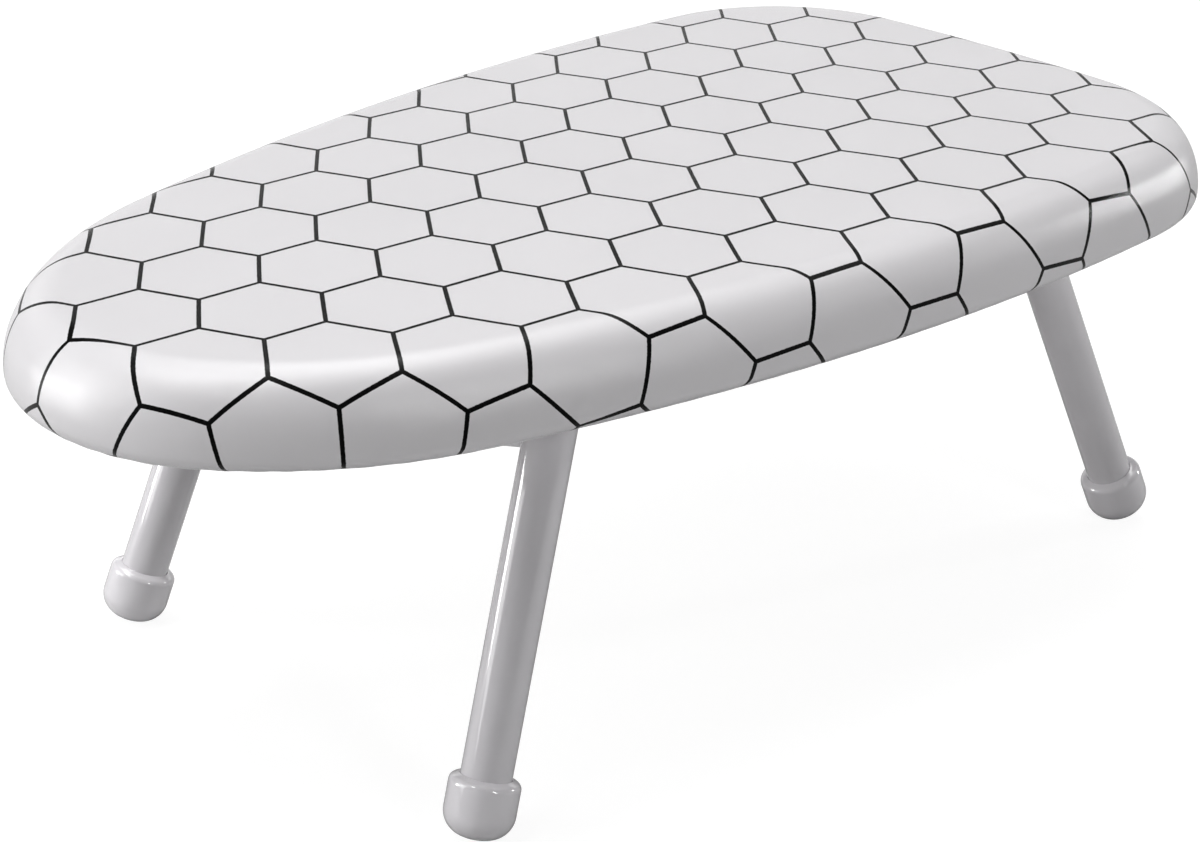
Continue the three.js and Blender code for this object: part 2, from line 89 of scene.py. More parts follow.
# How finely the soft pieces are meshed
STATIONS = 720
FOAM_STATIONS = STATIONS // 3
BAND_STATIONS = STATIONS // 2
BAND_RIB_STEPS = 4
TOP_RINGS = 15
TOP_EDGE_STEPS = 22
BOTTOM_EDGE_STEPS = 10
LAP_STEPS = 8
FOLD_STEPS = 4

# Gathers of the hem, which drift out of step by a few long waves
GATHER_PITCH = 0.0145
GATHER_DEPTH = 0.0024
GATHER_GROWTH = 1.5
SIDE_GATHER_SHARE = 0.3
GATHER_BLEND_STATIONS = 30
DRIFT_SEED = 7
DRIFT_WAVES = range(3, 40, 4)
DRIFT_STRENGTH = 0.5
DRIFT_SHIFT = 6.28

# Honeycomb print: a cell's width, its place and turn, and how the stretched cloth bends its rows
CELL_WIDTH = 0.0484
CELL_STRETCH = 1.038
PRINT_ORIGIN = (-0.1443, 0.0268)
PRINT_TURN = math.radians(-36.26)
PRINT_SHEAR = -0.0109
PRINT_BEND_ACROSS = (-0.0044, 0.0148, -0.0120)
PRINT_BEND_ALONG = (-0.0024, 0.0077, -0.0068)

# Length of cloth that the print loses over the rounded edge, and how soon
EDGE_SLACK = 0.0026
EDGE_SLACK_REACH = 0.010

# Printed lines and threads
LINE_WIDTH = 0.0019
LINE_SOFTNESS = 0.12
LINE_BLEED = 0.006
INK_SMOOTHING = 0.08
THREAD_PITCH = 0.00042
SLUB_HEIGHT = 0.6

# Legs
ENDS = ("nose", "heel")
SIDES = ("left", "right")
TUBE_RADIUS = 0.011
TUBE_EDGE_ROUND = 0.0005
CAP_RADIUS = 0.0154
CAP_LENGTH = 0.0255
CAP_FLOOR = 0.008
CAP_TOP_ROUND = 0.003
CAP_BOTTOM_ROUND = 0.011
CAP_LIP_RISE = 0.0008
CAP_LIP_ROUND = 0.0004
CAP_LIP_HEIGHT = 0.003
CAP_TOP_TURN = 75
CAP_TOP_STEPS = 10
CAP_BOTTOM_STEPS = 16
FIT_GAP = 0.0003
LIP_GAP = 0.00006
PLUG_RIM = 0.0009
PLUG_RIM_TURN = 70
PLUG_DOME = 0.0026
PLUG_DOME_START = 20
PLUG_DOME_STEPS = 6
PLUG_STEM = 0.0035
TUBE_WALL = 0.0012
ROUND_STEPS = 6
ROUND_SEGMENTS = 96

# Welds between axle, arms and legs
AXLE_RADIUS = 0.005
ARM_LENGTH = 0.020
ARM_RISE = 0.009
ARM_HALF = (0.004, 0.005)
ARM_CORNER_POWER = 0.4
BEAD_RADIUS = 0.0011
BEAD_RIPPLE = 0.12
BEAD_RIPPLE_PITCH = 0.0016
BEAD_STEPS = 120
BEAD_SIDES = 10

# Screws
SCREW_HEAD_RADIUS = 0.004
SCREW_HEAD_HEIGHT = 0.0026
SCREW_HEAD_DOME = 0.0013
SCREW_SHANK_RADIUS = 0.002
SCREW_POINT = 0.003
RECESS_HALF_WIDTH = 0.0005
RECESS_REACH = 0.0022
RECESS_DEPTH = 0.0012
RECESS_WALL = 0.00025
SCREW_RINGS = 20
SCREW_SEGMENTS = 72

# Stitches of the hem
STITCH_RING = 3
STITCH_RADIUS = 0.00038
STITCH_LIFT = 0.0002
STITCH_SPAN = 2
STITCH_SIDES = 6
STITCH_SHAPE = ((0, 0), (0.08, 0.7), (0.3, 1), (0.7, 1), (0.92, 0.7), (1, 0))

# Edges that bend by more than these angles in degrees are shaded crisp
SHARP_ANGLE = 35
SMOOTH_SHARP_ANGLE = 80
BAND_SHARP_ANGLE = 60
SCREW_SHARP_ANGLE = 30

# Eased edges of the CAD pieces that stay
EDGE_EASE = 0.0010
EDGE_EASE_STEPS = 3
EDGE_EASE_ANGLE = math.radians(40)
EDGE_FLAT_ANGLE = math.radians(1)
EDGE_WELD_REACH = 0.00001

# Colours, and brightness of greys
CLOTH_COLOURS = ((0.84, 0.825, 0.845, 1.0), (0.88, 0.865, 0.885, 1.0))
FIBRE_COLOURS = ((0.70, 0.69, 0.665, 1.0), (0.78, 0.77, 0.75, 1.0))
FIBRE_DARK = (0.55, 0.52, 0.47, 1.0)
# Foam: the darker colour is painted shade in the pores' hollows, the lighter one is the cream foam
FOAM_AND_PORE_SHADE_COLOURS = ((0.86, 0.80, 0.62, 1.0), (0.93, 0.89, 0.74, 1.0))
PAINT_TINT = (0.978, 1.012)
THREAD_LEVEL = 0.7
INK_LEVEL = 0.003
WORN_INK_LEVEL = 0.2

# Camera: where it stands round the photographed object, and its lens
IMAGE_WIDTH = 1200
CAMERA_TARGET = Vector((-0.0229, -0.0230, 0.1027))
CAMERA_DISTANCE = 1.216
CAMERA_AZIMUTH = math.radians(-43.48)
CAMERA_ELEVATION = math.radians(25.37)
CAMERA_ROLL = math.radians(0.38)
FOCAL_PIXELS = 2623
SENSOR_WIDTH = 36
CLIP_START = 0.05
CLIP_END = 50

# Studio: softboxes by azimuth, elevation, distance, width, height and brightness
LIGHT_TARGET = Vector((0, 0, 0.2))
SOFTBOXES = (
    ("top_softbox", 51, 68, 5.3, 2.9, 4.6, 3.52),
    ("nose_softbox", 151, 68, 4.25, 2.3, 0.75, 9.6),
    ("heel_softbox", -5, 52, 4.5, 1.8, 1.8, 1.3),
    ("back_softbox", 146, 20, 3.2, 2.0, 2.3, 3.2),
    ("back_strip", 138, 4, 3.0, 0.6, 0.6, 13.0),
    ("heel_spot", -19, 9, 3.0, 0.18, 0.24, 110.0),
    ("front_strip", -93, 24, 2.4, 0.3, 1.0, 11.0),
    ("backdrop", 47, 6, 3.0, 5.0, 0.7, 0.8),
)
ROOM_BRIGHTNESS = 0.03
FLOOR_SIZE = 12.0
FLOOR_GLOW = 0.9
FLOOR_SHADE = 0.22
FLOOR_BOUNCE = 0.48


# Meshes


def mesh_object(name, points, faces, material, sharp_angle=SHARP_ANGLE):
    """A smooth-shaded mesh piece; edges sharper than sharp_angle degrees stay crisp."""
    mesh = bpy.data.meshes.new(name)
    mesh.from_pydata([tuple(p) for p in points], [], faces)
    mesh.validate()
    mesh.shade_smooth()
    mesh.set_sharp_from_angle(angle=math.radians(sharp_angle))
    mesh.materials.append(material)
    piece = bpy.data.objects.new(name, mesh)
    bpy.context.scene.collection.objects.link(piece)
    return piece


def loft(rings, closed=False):
    """Points and faces of a skin over rings of equal count; a ring of one point is a pole."""
    count = max(len(ring) for ring in rings)
    starts = np.cumsum([0] + [len(ring) for ring in rings])
    faces = []
    pairs = list(zip(range(len(rings)), range(1, len(rings))))
    if closed:
        pairs.append((len(rings) - 1, 0))
    for a, b in pairs:
        for i in range(count):
            j = (i + 1) % count
            first = (starts[a],) if len(rings[a]) == 1 else (starts[a] + j, starts[a] + i)
            second = (starts[b],) if len(rings[b]) == 1 else (starts[b] + i, starts[b] + j)
            faces.append([int(k) for k in (*first, *second)])
    return np.concatenate(rings), faces


def round_points(centre_r, centre_z, radius, start, end, steps=ROUND_STEPS):
    """Points of a rounded corner in a lathe profile, between two angles in degrees."""
    angles = np.radians(np.linspace(start, end, steps + 1))
    return [(centre_r + radius * math.cos(a), centre_z + radius * math.sin(a)) for a in angles]


def lathe(profile, place, segments=ROUND_SEGMENTS):
    """Points and faces of a profile of (radius, height) turned round the Z axis of place."""
    angles = np.arange(segments) * 2 * math.pi / segments
    rings = []
    for radius, height in profile:
        if radius == 0:
            rings.append(np.array([(0, 0, height)]))
        else:
            ring = np.stack([radius * np.cos(angles), radius * np.sin(angles), np.full(segments, height)], 1)
            rings.append(ring)
    points, faces = loft(rings)
    matrix = np.array(place)
    return points @ matrix[:3, :3].T + matrix[:3, 3], faces


def place_along(origin, direction):
    """A frame at origin whose Z axis is direction."""
    turned = Vector(direction).to_track_quat("Z", "Y").to_matrix().to_4x4()
    return Matrix.Translation(Vector(origin)) @ turned


def node_axis(node):
    """Lower and upper end of a long round CAD node, and the direction from one to the other."""
    points = np.array([v.co for v in frame["nodes"][node].data.vertices])
    centre = points.mean(0)
    direction = np.linalg.svd(points - centre, full_matrices=False)[2][0]
    if direction[2] < 0:
        direction = -direction
    travel = (points - centre) @ direction
    lower = Vector(centre + direction * travel.min())
    upper = Vector(centre + direction * travel.max())
    return lower, upper, Vector(direction)


def finish_piece(piece, body, slot, *nodes):
    """Sets the body that a piece moves with and the CAD nodes that it replaces; slot is not used."""
    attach(piece, body)
    if nodes:
        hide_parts(*nodes)


# Outline


def arc_radii(side_radius):
    """Radii of the five arcs from the nose tip to the heel's middle, for one radius of the long side."""
    nose, shoulder, side, corner = np.sin(TURNS[1:5])
    half = BOARD_WIDTH / 2
    shoulder_radius = (half - NOSE_RADIUS * nose - side_radius * (1 - shoulder)) / (shoulder - nose)
    heel_radius = (half - side_radius * (1 - side) - HEEL_CORNER_RADIUS * (side - corner)) / corner
    return np.array([NOSE_RADIUS, shoulder_radius, side_radius, HEEL_CORNER_RADIUS, heel_radius])


def outline_length(radii):
    """Length of the board from the nose tip to the heel's middle."""
    return float((radii * -np.diff(np.cos(TURNS))).sum())


def outline_radii():
    """Radii of the arcs that give the board's length, which grows evenly with the long side's radius."""
    start = outline_length(arc_radii(0))
    growth = outline_length(arc_radii(1)) - start
    return arc_radii((BOARD_LENGTH - start) / growth)


def facing(turns):
    """Outward directions of the outline at angles counted from the nose tip."""
    return np.stack([-np.cos(turns), -np.sin(turns)], -1)


def outline(count):
    """Places, outward directions and bends of evenly spaced stations round the board's widest line.

    The line starts at the nose tip and runs towards -Y.
    """
    radii = outline_radii()
    marks = np.concatenate([[0], np.cumsum(radii * np.diff(TURNS))])
    turns = np.interp(np.linspace(0, marks[-1], count // 2 + 1), marks, TURNS)
    arcs = np.searchsorted(TURNS[1:-1], turns, side="right")
    centres = []
    corner = np.array([-BOARD_LENGTH / 2, 0])
    for radius, start, end in zip(radii, TURNS, TURNS[1:]):
        centres.append(corner - radius * facing(start))
        corner = centres[-1] + radius * facing(end)
    outward = facing(turns)
    points = np.array(centres)[arcs] + radii[arcs][:, None] * outward
    mirror = np.array([1, -1])
    points = np.concatenate([points, points[-2:0:-1] * mirror])
    outward = np.concatenate([outward, outward[-2:0:-1] * mirror])
    bends = 1 / radii[arcs]
    return points, outward, np.concatenate([bends, bends[-2:0:-1]])


def ring_at(line, inset, height):
    """A ring of the outline, moved in by inset, at a height.

    Inset and height are one number each, or one for each station.
    """
    points, outward, _ = line
    inset = np.broadcast_to(inset, len(points))
    height = np.broadcast_to(height, len(points))
    return np.column_stack([points - inset[:, None] * outward, height])


def top_rings(line, depth, rings):
    """The pole and rings of the slightly crowned top, a given depth under the cloth's outer face."""
    edge = ring_at(line, TOP_ROUND_WIDTH, 0)
    made = [np.array([(0, 0, TOP - depth)])]
    for share in np.linspace(0, 1, rings + 1)[1:-1]:
        fall = np.clip((share - CROWN_START) / (1 - CROWN_START), 0, 1)
        ring = share * edge
        ring[:, 2] = TOP - depth - CROWN * fall * fall * (3 - 2 * fall)
        made.append(ring)
    return made


def top_edge(depth, steps):
    """(inset, height) over the rounded top edge, a given depth under the cloth's outer face."""
    turns = np.linspace(0, math.pi / 2, steps + 1)
    inset = TOP_ROUND_WIDTH - (TOP_ROUND_WIDTH - depth) * np.sin(turns)
    return list(zip(inset, WIDEST + (TOP_ROUND_HEIGHT - depth) * np.cos(turns)))


def bottom_edge(depth, steps, end=math.pi / 2):
    """(inset, height) under the rounded bottom edge, without its first point on the widest line."""
    turns = np.linspace(0, end, steps + 1)[1:]
    inset = BOTTOM_ROUND_WIDTH - (BOTTOM_ROUND_WIDTH - depth) * np.cos(turns)
    return list(zip(inset, WIDEST - (BOTTOM_ROUND_HEIGHT - depth) * np.sin(turns)))


# Cover


def hem_section():
    """(inset, height) along the lap from the bottom edge, round the hem's fold and back over the elastic."""
    middle = HEM_INSET - HEM_ROUND
    lap = [(inset, UNDERSIDE) for inset in np.linspace(BOTTOM_ROUND_WIDTH, middle, LAP_STEPS)[1:]]
    lower = round_points(middle, UNDERSIDE + HEM_ROUND, HEM_ROUND, -90, 0, FOLD_STEPS)[1:]
    upper = round_points(middle, HEM_TOP - HEM_ROUND, HEM_ROUND, 0, 90, FOLD_STEPS)
    return lap + lower + upper + [(HEM_INSET - HEM_WIDTH, HEM_TOP)]


def blended(values, reach):
    """Values round a closed line, each averaged with its neighbours up to reach stations away."""
    weights = np.hanning(2 * reach + 1)
    ends_joined = np.concatenate([values[-reach:], values, values[:reach]])
    return np.convolve(ends_joined, weights / weights.sum(), "valid")


def gather_wave(line):
    """How far each station lies into a gather, from 0 to 1; the gathers are faint along the sides."""
    points, _, bends = line
    spacing = np.linalg.norm(np.diff(points, axis=0, append=points[:1]), axis=1)
    travel = np.concatenate([[0], np.cumsum(spacing)[:-1]])
    total = spacing.sum()
    count = round(total / GATHER_PITCH)
    drift = np.zeros(len(points))
    dice = random.Random(DRIFT_SEED)
    for wave in DRIFT_WAVES:
        strength = dice.uniform(-1, 1)
        shift = dice.uniform(0, DRIFT_SHIFT)
        drift += strength * np.sin(2 * math.pi * wave * travel / total + shift) * DRIFT_STRENGTH
    phase = 2 * math.pi * count * travel / total + drift
    fullness = np.clip(bends * HEEL_CORNER_RADIUS, SIDE_GATHER_SHARE, 1)
    return (0.5 - 0.5 * np.cos(phase)) * blended(fullness, GATHER_BLEND_STATIONS)


def print_place(flat):
    """Cell coordinates of the honeycomb for points of the flat cloth."""
    across = np.array([math.cos(PRINT_TURN), math.sin(PRINT_TURN)])
    along = np.array([-math.sin(PRINT_TURN), math.cos(PRINT_TURN)])
    moved = (flat - np.array(PRINT_ORIGIN)) / CELL_WIDTH
    row = moved @ along / CELL_STRETCH
    column = moved @ across + PRINT_SHEAR * row
    bends = np.stack([column * column, column * row, row * row])
    return np.stack([column + PRINT_BEND_ACROSS @ bends, row + PRINT_BEND_ALONG @ bends], -1)


def store_print_map(piece, flat):
    """The flat cloth's place of each point, in honeycomb cells, as the piece's UV map."""
    cells = print_place(flat)
    layer = piece.data.uv_layers.new(name="print")
    corners = np.zeros(len(piece.data.loops), int)
    piece.data.loops.foreach_get("vertex_index", corners)
    layer.data.foreach_set("uv", cells[corners].astype(np.float32).ravel())


def edge_rings(line):
    """Rings of the cloth from the top's edge to the hem's end, and each ring's place on the flat cloth."""
    section = top_edge(0, TOP_EDGE_STEPS) + bottom_edge(0, BOTTOM_EDGE_STEPS) + hem_section()
    steps = np.linalg.norm(np.diff(np.array(section), axis=0), axis=1)
    travel = np.concatenate([[0], np.cumsum(steps)])
    wave = gather_wave(line)
    start = travel[TOP_EDGE_STEPS + 1]
    full = travel[TOP_EDGE_STEPS + BOTTOM_EDGE_STEPS + LAP_STEPS - 1]
    rings = []
    flat = []
    for (inset, height), moved in zip(section, travel):
        share = np.clip((moved - start) / (full - start), 0, 1) ** GATHER_GROWTH
        above = np.clip((HEM_TOP - height) / (HEM_TOP - UNDERSIDE), 0, 1) if moved > full else 1
        rings.append(ring_at(line, inset, height - GATHER_DEPTH * wave * share * above))
        drawn = moved - EDGE_SLACK * (1 - math.exp(-((moved / EDGE_SLACK_REACH) ** 2)))
        flat.append(line[0] - (TOP_ROUND_WIDTH - drawn) * line[1])
    return rings, flat


def make_cover(material):
    """Printed cloth over the top and edge, gathered under the board; gives the ring that is its seam."""
    line = outline(STATIONS)
    middle = top_rings(line, 0, TOP_RINGS)
    edge, flat_edge = edge_rings(line)
    points, faces = loft(middle + edge)
    cover = mesh_object("cover_cloth", points, faces, material, SMOOTH_SHARP_ANGLE)
    store_print_map(cover, np.concatenate([ring[:, :2] for ring in middle] + flat_edge))
    thickness = cover.modifiers.new("thickness", "SOLIDIFY")
    thickness.thickness = CLOTH_THICKNESS
    thickness.offset = -1
    finish_piece(cover, "board", "printed_cloth", "cover")
    return edge[TOP_EDGE_STEPS + BOTTOM_EDGE_STEPS + STITCH_RING]


def stitch_rings(start, end):
    """Rings of one thread on the cloth from start to end, pointed where it goes through."""
    angles = np.arange(STITCH_SIDES) * 2 * math.pi / STITCH_SIDES
    along = (end - start) / np.linalg.norm(end - start)
    across = np.cross(along, (0, 0, 1))
    rise = np.cross(across, along)
    around = np.cos(angles)[:, None] * across + np.sin(angles)[:, None] * rise
    rings = []
    for share, swell in STITCH_SHAPE:
        middle = start + share * (end - start) - STITCH_LIFT * swell * rise
        ring = middle + STITCH_RADIUS * swell * around
        rings.append(ring if swell else middle[None])
    return rings


def make_stitches(seam, material):
    """Short threads that lie on the underside of the hem, one for every second stretch of its seam line."""
    points = []
    faces = []
    for start, end in zip(seam[::STITCH_SPAN], np.roll(seam, -1, axis=0)[::STITCH_SPAN]):
        thread, skin = loft(stitch_rings(start, end))
        first = sum(len(made) for made in points)
        points.append(thread)
        faces += [[first + corner for corner in face] for face in skin]
    stitches = mesh_object("hem_stitches", np.concatenate(points), faces, material)
    finish_piece(stitches, "board", "elastic")


def make_foam(material):
    """Foam core that fills the cover and wraps the deck's edge."""
    line = outline(FOAM_STATIONS)
    depth = CLOTH_SPACE + SOFT_GAP
    pocket = DECK_INSET - SOFT_GAP
    lip_turn = math.acos((BOTTOM_ROUND_WIDTH - pocket + FOAM_LIP_LAND) / (BOTTOM_ROUND_WIDTH - depth))
    lip = bottom_edge(depth, BOTTOM_EDGE_STEPS, lip_turn)
    floor = DECK_TOP + SOFT_GAP
    section = top_edge(depth, TOP_EDGE_STEPS) + lip + [(pocket, lip[-1][1]), (pocket, floor)]
    rings = top_rings(line, depth, TOP_RINGS)
    rings += [ring_at(line, inset, height) for inset, height in section]
    rings.append(np.array([(0, 0, floor)]))
    foam = mesh_object("foam_core", *loft(rings), material)
    finish_piece(foam, "board", "foam", "foam_pad")


def make_elastic(material):
    """Ribbed elastic band inside the hem."""
    line = outline(BAND_STATIONS)
    low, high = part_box("hem_elastic")
    outer = HEM_INSET - HEM_WIDTH + SOFT_GAP
    inner = HEM_INSET - CLOTH_SPACE - SOFT_GAP
    across = np.linspace(inner, outer, BAND_RIB_STEPS * BAND_RIBS + 1)
    ripple = BAND_RIB_DEPTH * (0.5 - 0.5 * np.cos(np.linspace(0, 2 * math.pi * BAND_RIBS, len(across))))
    upper = [(inset, high.z - BAND_RIB_DEPTH + rise) for inset, rise in zip(across, ripple)]
    lower = [(inset, low.z + BAND_RIB_DEPTH - rise) for inset, rise in zip(across[::-1], ripple)]
    rings = [ring_at(line, inset, height) for inset, height in upper + lower]
    band = mesh_object("elastic_band", *loft(rings, closed=True), material, BAND_SHARP_ANGLE)
    finish_piece(band, "board", "elastic", "hem_elastic")


# Legs


def make_tube(end, side, material):
    """A leg tube with eased top rim, along the CAD tube's axis."""
    node = f"{end}_leg_{side}"
    bottom, top, direction = node_axis(node)
    length = (top - bottom).length
    profile = [
        (TUBE_RADIUS - TUBE_WALL, 0),
        (TUBE_RADIUS, 0),
        *round_points(TUBE_RADIUS - TUBE_EDGE_ROUND, length - TUBE_EDGE_ROUND, TUBE_EDGE_ROUND, 0, 90),
        (TUBE_RADIUS - TUBE_WALL, length),
    ]
    tube = mesh_object(f"{end}_tube_{side}", *lathe(profile, place_along(bottom, direction)), material)
    finish_piece(tube, f"{end}_legs", "leg_paint", node)


def plug_dome():
    """Profile of a plug's rounded rim and the low dome inside it, without the dome's middle."""
    rim = round_points(TUBE_RADIUS - PLUG_RIM, FIT_GAP + PLUG_RIM, PLUG_RIM, 0, PLUG_RIM_TURN)
    edge, foot = rim[-1]
    turns = np.radians(np.linspace(PLUG_DOME_START, 90, PLUG_DOME_STEPS + 1))
    rise = FIT_GAP + PLUG_DOME - foot
    low = math.sin(turns[0])
    wide = math.cos(turns[0])
    dome = [(edge * math.cos(t) / wide, foot + rise * (math.sin(t) - low) / (1 - low)) for t in turns[1:-1]]
    return rim + dome


def make_plug(end, side, material):
    """The domed plug in a leg tube's top end."""
    _, top, direction = node_axis(f"{end}_leg_{side}")
    stem = TUBE_RADIUS - TUBE_WALL - FIT_GAP
    profile = [
        (0, FIT_GAP - PLUG_STEM),
        (stem, FIT_GAP - PLUG_STEM),
        (stem, FIT_GAP),
        (TUBE_RADIUS, FIT_GAP),
        *plug_dome(),
        (0, FIT_GAP + PLUG_DOME),
    ]
    plug = mesh_object(f"{end}_plug_{side}", *lathe(profile, place_along(top, direction)), material)
    finish_piece(plug, f"{end}_legs", "nylon", f"{end}_leg_plug_{side}")


def make_foot(end, side, material):
    """The foot cap on a leg tube's lower end: round below, with a rolled lip that hugs the tube."""
    bottom, _, direction = node_axis(f"{end}_leg_{side}")
    socket = TUBE_RADIUS + FIT_GAP
    lip = TUBE_RADIUS + LIP_GAP
    lip_top = CAP_LENGTH + CAP_LIP_RISE
    low_round = (CAP_RADIUS - CAP_BOTTOM_ROUND, CAP_BOTTOM_ROUND, CAP_BOTTOM_ROUND)
    top_round = (CAP_RADIUS - CAP_TOP_ROUND, CAP_LENGTH - CAP_TOP_ROUND, CAP_TOP_ROUND)
    lip_round = (lip + CAP_LIP_ROUND, lip_top - CAP_LIP_ROUND, CAP_LIP_ROUND)
    profile = [
        (0, 0),
        *round_points(*low_round, -90, 0, CAP_BOTTOM_STEPS),
        *round_points(*top_round, 0, CAP_TOP_TURN, CAP_TOP_STEPS),
        *round_points(*lip_round, CAP_TOP_TURN, 180),
        (lip, lip_top - CAP_LIP_HEIGHT),
        (socket, lip_top - CAP_LIP_HEIGHT - FIT_GAP),
        (socket, CAP_FLOOR),
        (0, CAP_FLOOR),
    ]
    cap_end = bottom - direction * (CAP_FLOOR + FIT_GAP)
    cap = mesh_object(f"{end}_foot_{side}", *lathe(profile, place_along(cap_end, direction)), material)
    cut_at_table(cap)
    finish_piece(cap, f"{end}_legs", "foot_vinyl", f"{end}_foot_cap_{side}")


def weld_bead(name, body, path, outward, material):
    """A rippled bead along a closed path, whose outward directions stand off the joined surface."""
    ahead = np.roll(path, -1, axis=0) - np.roll(path, 1, axis=0)
    ahead /= np.linalg.norm(ahead, axis=1)[:, None]
    sideways = np.cross(ahead, outward)
    travel = np.cumsum(np.linalg.norm(np.diff(path, axis=0, append=path[:1]), axis=1))
    ripples = round(travel[-1] / BEAD_RIPPLE_PITCH)
    swell = BEAD_RADIUS * (1 + BEAD_RIPPLE * np.sin(2 * math.pi * ripples * travel / travel[-1]))
    rings = []
    for place, up, side, radius in zip(path, outward, sideways, swell):
        angles = np.arange(BEAD_SIDES) * 2 * math.pi / BEAD_SIDES
        rings.append(place + radius * (np.cos(angles)[:, None] * up + np.sin(angles)[:, None] * side))
    bead = mesh_object(name, *loft(rings, closed=True), material, SMOOTH_SHARP_ANGLE)
    finish_piece(bead, body, "leg_paint")


def bead_spokes():
    """Directions round the axle, one for each step of a bead."""
    turns = np.arange(BEAD_STEPS) * 2 * math.pi / BEAD_STEPS
    return np.stack([np.cos(turns), np.zeros(BEAD_STEPS), np.sin(turns)], 1)


def axle_place(end):
    """The middle of an axle, on the board's middle plane, and how far it reaches to each side."""
    axle_low, axle_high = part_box(f"{end}_axle")
    return np.array((axle_low + axle_high) / 2) * (1, 0, 1), axle_high.y


def make_axle_weld(end, side, material):
    """The bead where a leg's arm meets the axle's end."""
    outward = -1 if side == "left" else 1
    axle, axle_end = axle_place(end)
    spokes = bead_spokes()
    ring = axle + (0, outward * (axle_end + FIT_GAP / 2), 0) + AXLE_RADIUS * spokes
    weld_bead(f"{end}_axle_weld_{side}", f"{end}_legs", ring, spokes, material)


def make_leg_weld(end, side, material):
    """The bead where a leg's arm meets its tube: the arm's outline, run along its slope onto the tube."""
    outward = -1 if side == "left" else 1
    axle, axle_end = axle_place(end)
    spokes = bead_spokes()
    bottom, _, direction = (np.array(v) for v in node_axis(f"{end}_leg_{side}"))
    corners = np.sign(spokes) * np.abs(spokes) ** ARM_CORNER_POWER
    starts = axle + corners * (ARM_HALF[0], 1, ARM_HALF[1]) + (0, outward * axle_end, 0)
    slope = np.array((0, outward, ARM_RISE / (ARM_LENGTH + TUBE_RADIUS)))
    gap = starts - bottom
    gap -= (gap @ direction)[:, None] * direction
    slide = slope - (slope @ direction) * direction
    half = gap @ slide
    square = slide @ slide
    outside = (gap**2).sum(1) - TUBE_RADIUS**2
    reach = (-half - np.sqrt(half**2 - square * outside)) / square
    path = starts + reach[:, None] * slope
    radial = gap + reach[:, None] * slide
    radial /= np.linalg.norm(radial, axis=1)[:, None]
    weld_bead(f"{end}_leg_weld_{side}", f"{end}_legs", path, radial, material)


def make_screw(node, material):
    """A pan-head screw, head down, with a cross recess pressed into its head."""
    low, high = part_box(node)
    middle = (low + high) / 2
    length = high.z - low.z
    turns = np.linspace(0, math.pi / 2, SCREW_RINGS + 1)
    head = [(SCREW_HEAD_RADIUS * math.sin(t), SCREW_HEAD_DOME * (1 - math.cos(t))) for t in turns[1:]]
    profile = [
        (0, 0),
        *head,
        (SCREW_HEAD_RADIUS, SCREW_HEAD_HEIGHT),
        (SCREW_SHANK_RADIUS, SCREW_HEAD_HEIGHT),
        (SCREW_SHANK_RADIUS, length - SCREW_POINT),
        (0, length),
    ]
    points, faces = lathe(profile, Matrix.Translation((middle.x, middle.y, low.z)), SCREW_SEGMENTS)
    across = np.abs(points[:, :2] - (middle.x, middle.y))
    nearer, farther = across.min(1), across.max(1)
    inside = np.clip((RECESS_HALF_WIDTH - nearer) / RECESS_WALL + 0.5, 0, 1)
    inside *= np.clip((RECESS_REACH - farther) / RECESS_WALL + 0.5, 0, 1)
    on_head = points[:, 2] < low.z + SCREW_HEAD_DOME
    points[:, 2] += RECESS_DEPTH * inside * on_head
    screw = mesh_object(f"{node}_fine", points, faces, material, SCREW_SHARP_ANGLE)
    finish_piece(screw, "board", "zinc_steel", node)


def cut_at_table(piece):
    """Cuts away what lies under the table, and closes the cut with a flat face."""
    mesh = bmesh.new()
    mesh.from_mesh(piece.data)
    everything = mesh.verts[:] + mesh.edges[:] + mesh.faces[:]
    table = {"plane_co": (0, 0, 0), "plane_no": (0, 0, -1)}
    made = bmesh.ops.bisect_plane(mesh, geom=everything, clear_outer=True, **table)
    rim = [e for e in made["geom_cut"] if isinstance(e, bmesh.types.BMEdge)]
    bmesh.ops.edgeloop_fill(mesh, edges=rim)
    bmesh.ops.recalc_face_normals(mesh, faces=mesh.faces[:])
    mesh.to_mesh(piece.data)
    mesh.free()
    piece.data.shade_smooth()
    piece.data.set_sharp_from_angle(angle=math.radians(SHARP_ANGLE))


# Materials


